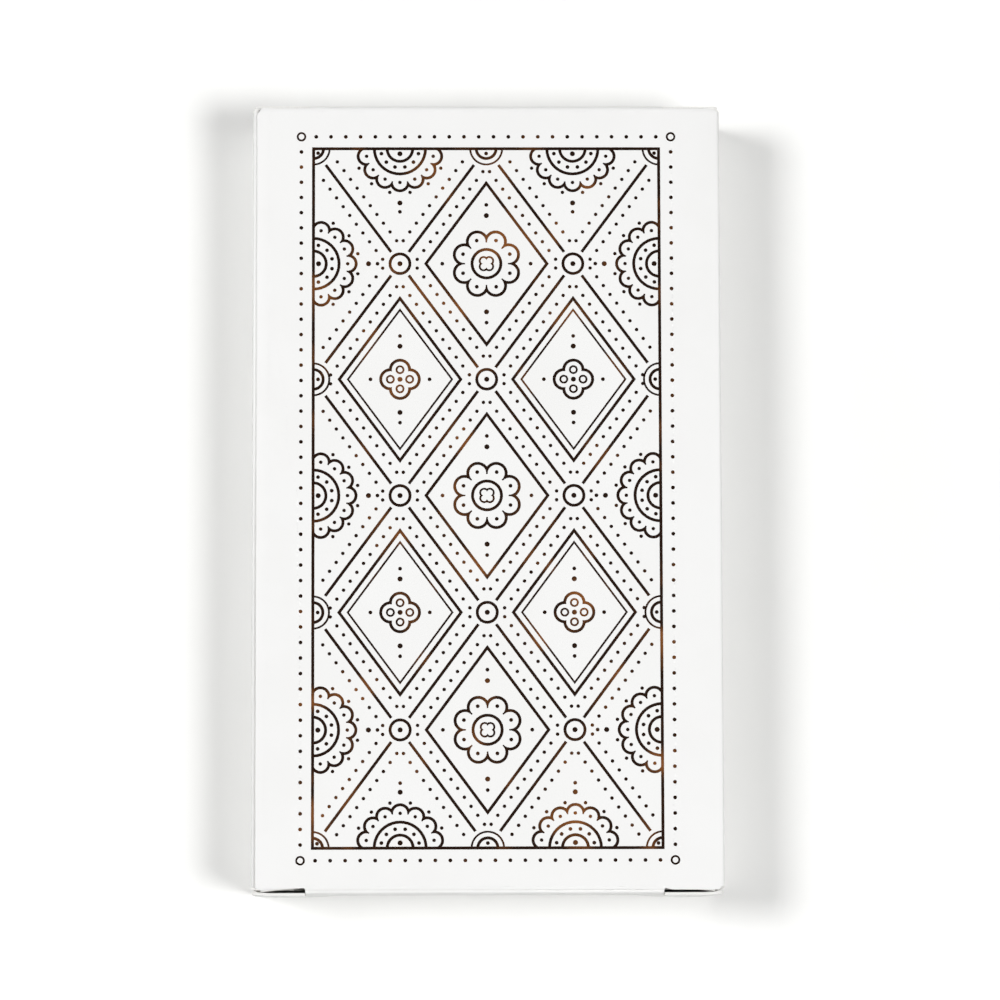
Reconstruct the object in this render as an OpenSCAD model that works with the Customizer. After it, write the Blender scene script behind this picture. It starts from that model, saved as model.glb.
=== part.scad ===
// Oracle card deck in its carton: a white board tuck box, lying on its back panel,
// with the loose cards stacked inside it. Sizes are in millimetres.
// The origin is the middle of the back panel's outer face. +X is to the right, +Y is
// towards the far end, and +Z is up, out of the front panel.
// The carton is one folded sheet. Its panels and flaps are separate solids that meet
// at the creases: the lids and dust flaps turn on those creases.

/* [Cards] */
// Width of one card
card_w = 70; // [50:1:90]
// Length of one card
card_l = 120; // [80:1:150]
// Thickness of one card
card_t = 0.35; // [0.25:0.01:0.5]
// Corner radius of a card
card_r = 3.5; // [2:0.5:6]
// Number of cards in the deck
card_count = 44; // [24:1:47]
// Air left between one card and the next
card_air = 0.01; // [0.005:0.005:0.03]
// How far a card may lie out of line with the rest of the deck
card_stagger = 0.12; // [0:0.02:0.2]

/* [Carton] */
// Thickness of the board
board_t = 0.45; // [0.3:0.05:0.7]
// Room beside the deck, on each side
side_play = 1.05; // [0.6:0.05:2]
// Room between the deck and the dust flaps, at each end
end_play = 0.55; // [0.4:0.05:1.5]
// Room under the deck
deck_gap = 0.05; // [0.02:0.01:0.2]
// Running gap between boards that turn past each other
fold_gap = 0.05; // [0.03:0.01:0.15]

/* [Glued seam] */
// How far the front panel's raw left edge stands back from the left face
seam_setback = 0.5; // [0.5:0.05:1.5]
// Width of the glue flap under the front panel
glue_flap_w = 15; // [10:1:25]
// How far the glue flap stops short of the side panel's ends
glue_flap_setback = 14; // [13:1:25]
// How far the glue flap's ends slant in
glue_flap_slant = 4; // [0:1:8]
// Chamfer on the front panel's corners, across the box
corner_cut_w = 0.5; // [0.2:0.1:2]
// Chamfer on the front panel's corners, along the box
corner_cut_l = 1; // [0.2:0.1:3]

/* [Lids] */
// How far each lid stops short of the side faces
lid_side_gap = 0.2; // [0.1:0.05:0.6]
// Length of the slit at each end of the tuck fold, from the side face
slit_l = 8.5; // [5:0.5:14]
// Width of the cut between the tuck fold and a corner tab
slit_gap = 0.1; // [0.05:0.05:0.3]
// How far the corner tabs stop below the front face
tab_drop = 0.25; // [0.1:0.05:0.5]

/* [Tuck flaps] */
// Depth of a tuck flap, from the lid's outer face
tuck_depth = 10.7; // [8:0.1:11]
// Room beside a tuck flap, on each side
tuck_side_gap = 1.05; // [0.5:0.05:3]
// Radius of a tuck flap's corners
tuck_r = 8; // [3:0.5:9]
// Room between a tuck flap and the front panel
tuck_headroom = 1; // [0.95:0.05:2]
// Room between a tuck flap and the deck
tuck_floor = 0.76; // [0.5:0.02:2]
// Where the flap widens behind its fold
tuck_shoulder = 0.8; // [0.75:0.05:1.5]
// How far a tuck flap folds towards its lid as the lid opens, in degrees
tuck_fold_in = 45; // [45:1:50]

/* [Dust flaps] */
// Length of a dust flap, from its crease
dust_l = 14; // [10:1:14]
// Room above and below a dust flap at its crease
dust_gap = 0.25; // [0.2:0.05:0.6]
// Rise of the lower edge for each millimetre of length
dust_foot_slope = 0.4; // [0.4:0.02:0.5]
// Fall of the upper edge for each millimetre of length
dust_head_slope = 0.25; // [0.25:0.01:0.35]

/* [Hidden] */
white_board = [0.95, 0.945, 0.935];
white_card = [0.97, 0.965, 0.955];
round_fn = 64;

// Overall sizes of the carton, built up from the deck outwards
deck_h = card_count * (card_t + card_air);
inner_w = card_w + 2 * side_play;
box_w = inner_w + 2 * board_t;
box_l = card_l + 2 * (end_play + fold_gap + 2 * board_t);
deck_z = board_t + deck_gap;
tuck_z = deck_z + deck_h + tuck_floor + board_t / 2;
box_t = tuck_z + board_t / 2 + tuck_headroom + board_t;

// Creases: each board turns about a line in the middle of its thickness
lid_y = box_l / 2 - board_t / 2;
lid_z = board_t / 2;
dust_y = lid_y - board_t - fold_gap;
dust_x = box_w / 2 - board_t / 2;

// Where the sleeve's panels stop, so that the boards can turn past their edges
panel_end = lid_y - board_t / 2 - fold_gap;
side_end = dust_y - board_t / 2 - fold_gap;

lid_w = box_w - 2 * lid_side_gap;
fold_w = box_w - 2 * slit_l;
tuck_w = inner_w - 2 * tuck_side_gap;
dust_foot = board_t + dust_gap;
dust_head = tuck_z - board_t / 2 - dust_gap;

function card_name(i) = str("card_", i < 10 ? "0" : "", i);
function card_shift(i) = card_stagger * [sin(137.5 * i), sin(222.5 * i), 0];
card_names = [for (i = [1 : card_count]) card_name(i)];

// Draws a section given in X and Z, as a bar along Y
module along_y(length) {
    rotate([90, 0, 0]) linear_extrude(length, center = true) children();
}

// Draws a section given in Y and Z, as a bar along X
module along_x(length) {
    rotate([90, 0, 90]) linear_extrude(length, center = true) children();
}

// Both ends are alike: the far one is the near one's mirror image
module at_end(far) {
    mirror([0, far ? 1 : 0, 0]) children();
}

// Both sides are alike: the right one is the left one's mirror image
module at_side(right) {
    mirror([right ? 1 : 0, 0, 0]) children();
}

// A quarter of a board's rolled edge, in the quadrant of -X and the given Y side
module rolled_edge(up) {
    intersection() {
        circle(board_t, $fn = round_fn);
        translate([-board_t, up ? 0 : -board_t]) square(board_t);
    }
}

// Section of a side panel, on the left, with the rolled edges that turn onto its neighbours
module side_section(top) {
    inner_x = -box_w / 2 + board_t;
    translate([-box_w / 2, board_t]) square([board_t, top - 2 * board_t]);
    translate([inner_x, board_t]) rolled_edge(false);
    translate([inner_x, top - board_t]) rolled_edge(true);
}

// A rectangle with round corners, about the origin
module round_rect(w, l, r) {
    square([w - 2 * r, l], center = true);
    square([w, l - 2 * r], center = true);
    for (x = [-1, 1], y = [-1, 1])
        translate([x * (w / 2 - r), y * (l / 2 - r)]) circle(r, $fn = round_fn);
}

// A tuck flap's outline behind its fold, with its far corners round
module tuck_outline() {
    reach = tuck_depth - board_t / 2 - tuck_shoulder;
    intersection() {
        round_rect(tuck_w, 2 * reach, tuck_r);
        translate([-tuck_w / 2, 0]) square([tuck_w, reach]);
    }
}

// What is cut from a lid's top, between the slits, so that the tuck flap can fold towards it
module fold_relief() {
    clear = board_t / 2 + fold_gap;
    ledge = -lid_y - clear * tan(tuck_fold_in / 2);
    outside = -lid_y - board_t;
    inside = -lid_y + board_t;
    drop = (clear + board_t * sin(tuck_fold_in)) / cos(tuck_fold_in);
    polygon([
        [outside, tuck_z - clear],
        [ledge, tuck_z - clear],
        [inside, tuck_z - drop],
        [inside, box_t],
        [outside, box_t]
    ]);
}

module front_panel() {
    left = -box_w / 2 + seam_setback;
    right = box_w / 2 - board_t;
    end = panel_end;
    color(white_board) translate([0, 0, box_t - board_t]) linear_extrude(board_t) polygon([
        [left + corner_cut_w, -end],
        [right - corner_cut_w, -end],
        [right, -end + corner_cut_l],
        [right, end - corner_cut_l],
        [right - corner_cut_w, end],
        [left + corner_cut_w, end],
        [left, end - corner_cut_l],
        [left, -end + corner_cut_l]
    ]);
}

module back_panel() {
    color(white_board) translate([0, 0, board_t / 2]) cube([inner_w, 2 * panel_end, board_t], center = true);
}

// Its top edge rolls under the front panel, into the glue flap
module left_side_panel() {
    color(white_board) along_y(2 * side_end) side_section(box_t - board_t);
}

// Its top edge rolls up into the front panel
module right_side_panel() {
    color(white_board) at_side(true) along_y(2 * side_end) side_section(box_t);
}

module glue_flap() {
    root_x = -inner_w / 2;
    root_y = side_end - glue_flap_setback;
    tip_y = root_y - glue_flap_slant;
    color(white_board) translate([0, 0, box_t - 2 * board_t]) linear_extrude(board_t) polygon([
        [root_x, -root_y],
        [root_x + glue_flap_w, -tip_y],
        [root_x + glue_flap_w, tip_y],
        [root_x, root_y]
    ]);
}

module lid(far) {
    tab_top = box_t - tab_drop;
    color(white_board) at_end(far) difference() {
        along_x(lid_w) {
            translate([-lid_y, lid_z]) circle(d = board_t, $fn = round_fn);
            translate([-lid_y - board_t / 2, lid_z]) square([board_t, tab_top - lid_z]);
        }
        along_x(fold_w + 2 * slit_gap) fold_relief();
    }
}

module tuck_flap(far) {
    color(white_board) at_end(far) {
        along_x(fold_w) translate([-lid_y, tuck_z]) {
            circle(d = board_t, $fn = round_fn);
            translate([0, -board_t / 2]) square([tuck_shoulder, board_t]);
        }
        translate([0, -lid_y + tuck_shoulder, tuck_z - board_t / 2]) linear_extrude(board_t) tuck_outline();
    }
}

module dust_flap(far, right) {
    color(white_board) at_end(far) at_side(right) translate([-dust_x, -dust_y, 0]) {
        translate([0, 0, dust_foot]) cylinder(h = dust_head - dust_foot, d = board_t, $fn = round_fn);
        along_y(board_t) polygon([
            [0, dust_foot],
            [dust_l, dust_foot + dust_foot_slope * dust_l],
            [dust_l, dust_head - dust_head_slope * dust_l],
            [0, dust_head]
        ]);
    }
}

// Cards are counted from the bottom of the deck
module card(i) {
    height = deck_z + (i - 1) * (card_t + card_air);
    color(white_card) translate(card_shift(i) + [0, 0, height]) linear_extrude(card_t)
        round_rect(card_w, card_l, card_r);
}

front_panel();
back_panel();
left_side_panel();
right_side_panel();
glue_flap();
lid(far = false);  // near_lid
tuck_flap(far = false);  // near_tuck_flap
dust_flap(far = false, right = false);  // near_left_dust_flap
dust_flap(far = false, right = true);  // near_right_dust_flap
lid(far = true);  // far_lid
tuck_flap(far = true);  // far_tuck_flap
dust_flap(far = true, right = false);  // far_left_dust_flap
dust_flap(far = true, right = true);  // far_right_dust_flap
for (i = [1 : card_count]) card(i);
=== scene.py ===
# %% [markdown]
# # A deck of cards in its carton
# The carton is one sheet of white board that a die cuts and creases, and that is then folded and glued into
# a sleeve with a tuck lid at each end. A ruled ornament is stamped on its front in dark copper foil.
# The frame brings the measured solids, each on the body that moves it. This lesson folds real sheets of
# board round them, because only a sheet shows rolled creases, raw cut edges and flaps that spring a little.

# %% Load the frame
import math

import bmesh
import bpy
from mathutils import Euler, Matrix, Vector


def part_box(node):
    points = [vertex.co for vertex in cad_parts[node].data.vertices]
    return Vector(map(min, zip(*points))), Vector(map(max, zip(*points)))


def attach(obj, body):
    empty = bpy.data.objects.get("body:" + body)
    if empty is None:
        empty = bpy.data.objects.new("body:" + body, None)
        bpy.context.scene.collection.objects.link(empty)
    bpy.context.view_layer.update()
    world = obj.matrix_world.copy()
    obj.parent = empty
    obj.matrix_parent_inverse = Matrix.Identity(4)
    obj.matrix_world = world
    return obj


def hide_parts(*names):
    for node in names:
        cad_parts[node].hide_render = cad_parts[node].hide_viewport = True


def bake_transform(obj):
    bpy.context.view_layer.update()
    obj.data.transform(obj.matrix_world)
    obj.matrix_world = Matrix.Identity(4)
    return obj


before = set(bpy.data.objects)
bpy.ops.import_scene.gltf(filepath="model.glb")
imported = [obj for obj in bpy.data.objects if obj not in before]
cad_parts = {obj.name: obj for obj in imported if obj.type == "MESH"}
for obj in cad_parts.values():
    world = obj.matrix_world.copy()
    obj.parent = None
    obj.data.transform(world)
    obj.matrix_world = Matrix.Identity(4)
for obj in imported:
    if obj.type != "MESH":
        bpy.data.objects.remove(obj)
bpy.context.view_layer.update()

# %% [markdown]
# ## Sizes
# Blender works in metres, but a carton is drawn in millimetres, so sizes are kept in millimetres and turned
# into metres where an operator needs them. The frame's solids are the drawing: the sizes of the board and
# its panels are read from them, and only what the solids leave out, such as how far a flap springs, is
# chosen here.

# %% Read the carton's sizes
MM = 0.001


def box_mm(node):
    """Lowest and highest corner of a solid, in millimetres."""
    low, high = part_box(node)
    return low / MM, high / MM


front_low, front_high = box_mm("front_panel")
lid_low, lid_high = box_mm("near_lid")
side_high = box_mm("right_side_panel")[1]

BOARD = front_high.z - front_low.z
HALF_W = side_high.x
HEIGHT = front_high.z
PANEL_END = front_high.y
SIDE_END = side_high.y
LID_FACE = -lid_low.y
ROLL = LID_FACE - PANEL_END
print(f"carton {2 * HALF_W:.1f} x {2 * LID_FACE:.1f} x {HEIGHT:.1f} mm, board {BOARD:.2f}, crease {ROLL:.2f}")

# %% [markdown]
# ## Tools for folding
# By hand, a sheet is folded in edit mode: pick an edge, extrude or spin it into the next panel, cut off what
# the die cuts off. The small helpers below do just that. `pick` selects by place, because a script can't
# point with a mouse, and it hands the test millimetres so that the conditions read like the drawing. Places
# that are closer than `NEAR` count as the same.

# %% Helpers that add and open pieces
NEAR = 0.01


def place(x, y, z=0.0):
    """A point or a move in millimetres, in Blender's metres."""
    return Vector((x, y, z)) * MM


def deselect():
    """Closes any open piece, and deselects everything."""
    if bpy.context.object and bpy.context.object.mode != "OBJECT":
        bpy.ops.object.mode_set(mode="OBJECT")
    bpy.ops.object.select_all(action="DESELECT")


def only(piece):
    """Makes a piece the active and only selected object."""
    deselect()
    piece.select_set(True)
    bpy.context.view_layer.objects.active = piece


def reopen(piece):
    """Opens a piece for editing again."""
    only(piece)
    bpy.ops.object.mode_set(mode="EDIT")


def open_piece(name, turn, size):
    """Names the primitive that was just added, fixes its turn and size in its mesh, and opens it."""
    piece = bpy.context.object
    piece.name = piece.data.name = name
    piece.rotation_euler = turn
    piece.scale = place(*size, 1 / MM)
    bpy.ops.object.transform_apply(location=True, rotation=True, scale=True)
    bpy.ops.object.mode_set(mode="EDIT")
    return piece


def add_sheet(name, middle, size, turn=(0, 0, 0)):
    """A flat sheet about a middle point, open for editing."""
    deselect()
    bpy.ops.mesh.primitive_plane_add(size=1, location=place(*middle))
    return open_piece(name, turn, size)


# %% Helpers that pick, move and cut
def pick(kind, test):
    """Selects the vertices, edges or faces of the open piece whose middle passes a test in millimetres."""
    bpy.ops.mesh.select_mode(type=kind)
    bpy.ops.mesh.select_all(action="DESELECT")
    mesh = bmesh.from_edit_mesh(bpy.context.edit_object.data)
    chosen = 0
    for part in {"VERT": mesh.verts, "EDGE": mesh.edges, "FACE": mesh.faces}[kind]:
        corners = [part] if kind == "VERT" else part.verts
        middle = sum((v.co for v in corners), Vector()) / len(corners) / MM
        if not part.hide and test(*middle):
            part.select_set(True)
            chosen += 1
    mesh.select_flush_mode()
    bmesh.update_edit_mesh(bpy.context.edit_object.data)
    return chosen


def extrude(x, y, z):
    bpy.ops.mesh.extrude_region_move(TRANSFORM_OT_translate={"value": place(x, y, z)})


def move(x, y, z):
    bpy.ops.transform.translate(value=place(x, y, z))


def roll(middle, axis, degrees, steps=5):
    """Spins the picked edges round a crease. The operator counts angles clockwise, so the sign is turned."""
    bpy.ops.mesh.spin(steps=steps, angle=-math.radians(degrees), center=place(*middle), axis=axis)


def cut(point, normal, drop=False):
    """Cuts the picked faces with a plane, and drops those on the normal's side if asked.
    The other faces are hidden meanwhile, so that they keep the corners that they share."""
    start, way = place(*point), Vector(normal)
    bpy.ops.mesh.hide(unselected=True)
    bpy.ops.mesh.bisect(plane_co=start, plane_no=way, threshold=0.001 * MM)
    if drop and pick("FACE", lambda x, y, z: (place(x, y, z) - start).dot(way) > 0):
        bpy.ops.mesh.delete(type="FACE")
    bpy.ops.mesh.reveal(select=False)


def cut_all(point, normal, drop=False):
    bpy.ops.mesh.select_all(action="SELECT")
    cut(point, normal, drop)


def round_corners(radius, steps=6):
    """Rounds the picked corners of a sheet."""
    bpy.ops.mesh.bevel(offset=radius * MM, segments=steps, affect="VERTICES")


# %% Helpers that finish and copy
def face_out(direction, test):
    """Merges doubles and makes the faces agree, with the ones that pass the test facing a direction."""
    bpy.ops.mesh.select_all(action="SELECT")
    bpy.ops.mesh.remove_doubles(threshold=0.001 * MM)
    bpy.ops.mesh.normals_make_consistent(inside=False)
    pick("FACE", test)
    mesh = bmesh.from_edit_mesh(bpy.context.edit_object.data)
    facing = sum(f.normal.dot(Vector(direction)) for f in mesh.faces if f.select)
    bpy.ops.mesh.select_all(action="SELECT")
    if facing < 0:
        bpy.ops.mesh.flip_normals()


def copy_piece(piece, name):
    """A copy of a closed piece, with a mesh of its own."""
    only(piece)
    bpy.ops.object.duplicate()
    copy = bpy.context.object
    copy.name = copy.data.name = name
    return copy


def mirrored(sheet, name, across, along):
    """A copy of a sheet for another side or end: -1 mirrors it, and its faces are then turned out again."""
    copy = copy_piece(sheet, name)
    reopen(copy)
    bpy.ops.mesh.select_all(action="SELECT")
    bpy.ops.transform.resize(value=(across, along, 1), center_override=(0, 0, 0))
    if across * along < 0:
        bpy.ops.mesh.flip_normals()
    bpy.ops.object.mode_set(mode="OBJECT")
    return copy


def tell_faces(step):
    """Prints how many faces the open piece has after a step."""
    print(f"{step}: {len(bmesh.from_edit_mesh(bpy.context.edit_object.data).faces)} faces")


def describe(piece):
    size = piece.dimensions / MM
    print(f"{piece.name}: {len(piece.data.polygons)} faces, {size.x:.2f} x {size.y:.2f} x {size.z:.2f} mm")


# %% [markdown]
# ## Shader maths
# A finish is mixed from noise, ramps and masks. Wiring nodes by hand hides the sums, so one small class
# wraps a socket: adding or multiplying two of them adds the Math node, and `node` adds any other kind.


# %% A socket that can be used in sums
class Wire:
    """One output in a node tree, or the bare tree, from which nodes are added."""

    def __init__(self, tree, socket=None):
        self.tree = tree
        self.socket = socket

    def node(self, kind, settings=None, values=None, output=0):
        """Adds a node: its settings are set first, then its sockets get their values or links."""
        node = self.tree.nodes.new(kind)
        for name, setting in (settings or {}).items():
            setattr(node, name, setting)
        for name, value in (values or {}).items():
            if isinstance(value, Wire):
                self.tree.links.new(value.socket, node.inputs[name])
            else:
                node.inputs[name].default_value = value
        return Wire(self.tree, node.outputs[output])

    def math(self, operation, *values):
        return self.node("ShaderNodeMath", {"operation": operation}, dict(enumerate(values)))

    def __add__(self, other):
        return self.math("ADD", self, other)

    def __sub__(self, other):
        return self.math("SUBTRACT", self, other)

    def __rsub__(self, other):
        return self.math("SUBTRACT", other, self)

    def __mul__(self, other):
        return self.math("MULTIPLY", self, other)

    def __truediv__(self, other):
        return self.math("DIVIDE", self, other)

    def __gt__(self, other):
        return self.math("GREATER_THAN", self, other)

    def __lt__(self, other):
        return self.math("LESS_THAN", self, other)

    def __abs__(self):
        return self.math("ABSOLUTE", self)


# %% Helpers for finishes
def start_finish(name, **fixed):
    """A new material: the wire that its nodes start from, its shader, and what is the same all over it."""
    material = bpy.data.materials.new(name)
    material.use_nodes = True
    shader = material.node_tree.nodes["Principled BSDF"]
    for socket, value in fixed.items():
        shader.inputs[socket.replace("_", " ")].default_value = value
    return material, Wire(material.node_tree), shader


def feed(wire, shader, socket):
    wire.tree.links.new(wire.socket, shader.inputs[socket])


def object_spot(start):
    """The place on an object, in its own coordinates."""
    return start.node("ShaderNodeTexCoord", output="Object")


def along_axis(wire, axis):
    """One part of a place or a direction."""
    return wire.node("ShaderNodeSeparateXYZ", {}, {0: wire}, output=axis)


def noise(where, grain, detail=3.0, rough=0.55):
    """Noise whose lumps are about a grain across, in millimetres."""
    values = {"Vector": where, "Scale": 1 / (grain * MM), "Detail": detail, "Roughness": rough}
    return where.node("ShaderNodeTexNoise", {}, values)


def mix(share, first, second):
    """From the first colour to the second, as the share goes from 0 to 1."""
    values = {0: share, 6: first, 7: second}
    return share.node("ShaderNodeMix", {"data_type": "RGBA"}, values, output=2)


def between(wire, low, high):
    """From low to high, as the wire goes from 0 to 1."""
    return wire * (high - low) + low


def ease(wire, low, high):
    """0 below low, 1 above high, and a soft step between them."""
    values = {"Value": wire, "From Min": low, "From Max": high}
    return wire.node("ShaderNodeMapRange", {"interpolation_type": "SMOOTHSTEP"}, values)


def bump(height, strength, depth):
    """A bump whose depth is in millimetres."""
    return height.node("ShaderNodeBump", {}, {"Strength": strength, "Distance": depth * MM, "Height": height})


# %% [markdown]
# ## The board's three finishes
# White carton board is coated and matt on the printed side, bare and a little warmer inside, and it shows
# its pulp core where the die cuts it. Folding a sheet that has only one finish would hide all that. A noise
# of fibres gives each finish its tooth, broad clouds keep it from being one flat white, and the creases,
# which are rubbed most, are a touch greyer.

# %% Coated side
COATED_LIGHT = (0.922, 0.921, 0.913, 1)
COATED_DARK = (0.908, 0.906, 0.896, 1)
RUBBED = (0.83, 0.82, 0.80, 1)
RUB_SHARE = 0.15


def make_coated_board():
    material, start, shader = start_finish("coated_board", Specular_IOR_Level=0.35)
    spot = object_spot(start)
    cloud = noise(spot, grain=14.0)
    fibre = noise(spot, grain=0.35, detail=4.0)
    crease = ease(abs(along_axis(spot, "X")), (HALF_W - ROLL) * MM, HALF_W * MM)
    rubbed = crease * ease(noise(spot, grain=1.6), 0.52, 0.7)
    colour = mix(ease(cloud, 0.35, 0.65), COATED_LIGHT, COATED_DARK)
    feed(mix(rubbed * RUB_SHARE, colour, RUBBED), shader, "Base Color")
    feed(between(fibre, 0.44, 0.60), shader, "Roughness")
    feed(bump(fibre + cloud * 0.6, strength=0.25, depth=0.03), shader, "Normal")
    return material


# %% Bare side and cut edge
BARE_LIGHT = (0.80, 0.775, 0.725, 1)
BARE_DARK = (0.77, 0.743, 0.69, 1)
FLECK = (0.52, 0.46, 0.38, 1)
FLECK_SHARE = 0.35
CORE_LIGHT = (0.92, 0.915, 0.90, 1)
CORE_DARK = (0.86, 0.85, 0.825, 1)


def make_bare_board():
    material, start, shader = start_finish("bare_board", Specular_IOR_Level=0.2)
    spot = object_spot(start)
    cloud = noise(spot, grain=6.0)
    fibre = noise(spot, grain=0.3, detail=5.0)
    fleck = ease(noise(spot, grain=0.5, detail=1.0), 0.68, 0.74)
    colour = mix(ease(cloud, 0.35, 0.65), BARE_LIGHT, BARE_DARK)
    feed(mix(fleck * FLECK_SHARE, colour, FLECK), shader, "Base Color")
    feed(between(fibre, 0.74, 0.92), shader, "Roughness")
    feed(bump(fibre, strength=0.4, depth=0.04), shader, "Normal")
    return material


def make_cut_edge():
    material, start, shader = start_finish("cut_edge", Specular_IOR_Level=0.15)
    pulp = noise(object_spot(start), grain=0.18, detail=4.0)
    feed(mix(ease(pulp, 0.3, 0.75), CORE_LIGHT, CORE_DARK), shader, "Base Color")
    feed(between(pulp, 0.82, 0.94), shader, "Roughness")
    feed(bump(pulp, strength=0.5, depth=0.05), shader, "Normal")
    return material


BOARD_FINISHES = (make_coated_board(), make_bare_board(), make_cut_edge())
print("board finishes:", ", ".join(finish.name for finish in BOARD_FINISHES))

# %% [markdown]
# ## From sheet to board
# Each piece is modelled as a sheet with no thickness, the printed side facing out. Solidify then grows the
# board inwards, so the outside stays where the drawing puts it, and it gives the inside and the cut edges
# their own finish. A very small bevel takes the razor look off the cuts, and shading by angle keeps rolled
# creases smooth.

# %% Give a sheet its thickness
EDGE_SOFTNESS = 0.03
EDGE_STEPS = 2
SHARP_ANGLE = 55
SMOOTH_ANGLE = 40


def thicken(sheet, moves_with, nodes):
    """Makes a folded sheet into board and hides the nodes that it stands for. A body's name attaches it to
    that body; for a bend, the two bodies and the two points are not used, and only its place is fixed in its
    mesh."""
    only(sheet)
    for finish in BOARD_FINISHES:
        sheet.data.materials.append(finish)
    wall = sheet.modifiers.new("board", "SOLIDIFY")
    wall.thickness = BOARD * MM
    wall.offset = -1
    wall.use_even_offset = True
    wall.material_offset = 1
    wall.material_offset_rim = 2
    bpy.ops.object.modifier_apply(modifier=wall.name)
    soft = sheet.modifiers.new("soft cuts", "BEVEL")
    soft.width = EDGE_SOFTNESS * MM
    soft.segments = EDGE_STEPS
    soft.limit_method = "ANGLE"
    soft.angle_limit = math.radians(SHARP_ANGLE)
    soft.use_clamp_overlap = False
    bpy.ops.object.modifier_apply(modifier=soft.name)
    bpy.ops.object.shade_smooth_by_angle(angle=math.radians(SMOOTH_ANGLE))
    if isinstance(moves_with, str):
        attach(sheet, moves_with)
    else:
        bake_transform(sheet)
    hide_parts(*nodes)
    describe(sheet)


# %% [markdown]
# ## The sleeve
# Glue flap, left side, back, right side and front are one strip of board. It starts as the back panel, and
# its long edges are extruded up and over, which is how the real one is folded. Bevelling the four fold lines
# rolls the creases. The front's raw edge stands back from the left fold, so a strip of the glue flap shows
# beside it. The side panels stop short of the ends, where the flaps take over, and the front's corners are
# nipped off a little by the die.

# %% Fold the strip
SEAM_SHOW = 0.2
SEAM_RISE = 0.03
GLUE_COVER = 0.3
FOLD_STEPS = 5
glue_high = box_mm("glue_flap")[1]
seam_z = box_mm("left_side_panel")[1].z - NEAR
front_left = front_low.x + SEAM_SHOW
glue_root = front_left + GLUE_COVER

sleeve = add_sheet("sleeve", (0, 0, 0), (2 * HALF_W, 2 * PANEL_END))
bpy.ops.mesh.flip_normals()
pick("EDGE", lambda x, y, z: x > HALF_W - NEAR)
extrude(0, 0, HEIGHT)
extrude(front_left - HALF_W, 0, 0)
pick("EDGE", lambda x, y, z: x < -HALF_W + NEAR and z < NEAR)
extrude(0, 0, seam_z + SEAM_RISE)
extrude(ROLL, 0, -SEAM_RISE)
extrude(glue_root + HALF_W - ROLL, 0, 0)
extrude(glue_high.x - glue_root, 0, 0)
pick("EDGE", lambda x, y, z: abs(x) > HALF_W - NEAR and abs(y) < NEAR and not NEAR < z < seam_z)
bpy.ops.mesh.bevel(offset=ROLL * MM, segments=FOLD_STEPS, affect="EDGES")
tell_faces("strip folded")

# %% Trim the strip as the die does
GLUE_SLANT = 4.0
CORNER_CUTS = {(-1, 1): (0.6, 1.3), (1, 1): (0.9, 0.38), (-1, -1): (0.5, 0.35), (1, -1): (0.45, 0.4)}


def on_front(x, y, z):
    return z > HEIGHT - NEAR


def beside_front(x, y, z):
    return abs(x) > HALF_W - ROLL or NEAR < z < HEIGHT - NEAR


for end in (-1, 1):
    cut_all((0, end * SIDE_END, 0), (0, 1, 0))
    pick("FACE", lambda x, y, z: y * end > SIDE_END and beside_front(x, y, z))
    bpy.ops.mesh.delete(type="FACE")

    cut_all((0, end * glue_high.y, 0), (0, 1, 0))
    pick("FACE", lambda x, y, z: seam_z - NEAR < z < HEIGHT - NEAR and glue_root < x < glue_high.x)
    cut((glue_root, end * glue_high.y, 0), (GLUE_SLANT, end * (glue_high.x - glue_root), 0), drop=True)
    for side in (-1, 1):
        corner_x = front_left if side < 0 else HALF_W - ROLL
        across, along = CORNER_CUTS[side, end]
        pick("FACE", on_front)
        cut((corner_x - side * across, end * PANEL_END, 0), (side * along, end * across, 0), drop=True)
tell_faces("strip trimmed")

# %% [markdown]
# The lid's slits end under the front's near edge, and that edge frays where the lid has been opened. A nick
# over each slit's inner end shows the dark behind it, and beyond the right nick the edge reaches out a
# little. Columns are cut first, so that only the edge between them moves.

# %% Nick the front's near edge above the slits
NICKS = {-28.3: 0.28, 27.4: 0.2}
NICK_STEP = 0.3
REACH_START = 28.4
REACH = 0.06


def on_near_edge(x, y, z):
    return y < -PANEL_END + NEAR and on_front(x, y, z)


nick_starts = [nick_x - math.copysign(NICK_STEP, nick_x) for nick_x in NICKS]
for column in (*NICKS, *nick_starts, REACH_START):
    pick("FACE", on_front)
    cut((column, 0, 0), (1, 0, 0))
for nick_x, depth in NICKS.items():
    pick("VERT", lambda x, y, z: abs(x - nick_x) < NEAR and on_near_edge(x, y, z))
    move(0, depth, 0)
pick("VERT", lambda x, y, z: x > REACH_START - NEAR and on_near_edge(x, y, z))
move(0, -REACH, 0)
tell_faces("edge nicked")

# %% [markdown]
# A full carton is never quite square: the deck and the folds push its long sides out by a fraction of a
# millimetre. Rows of cuts give the sides something to bend, and proportional editing pulls their middles
# out. The raw edge at the seam springs up too, most towards the near end, where it is handled.

# %% Bow the long sides
SIDE_BOW = {-1: 0.12, 1: 0.3}
BOW_COLUMNS = 8
BOW_ROWS = 6
BOW_MARGIN = 10.0


def mid_side(x, y, z):
    return abs(z - HEIGHT / 2) < 1 and abs(y) < SIDE_END - BOW_MARGIN


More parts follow.
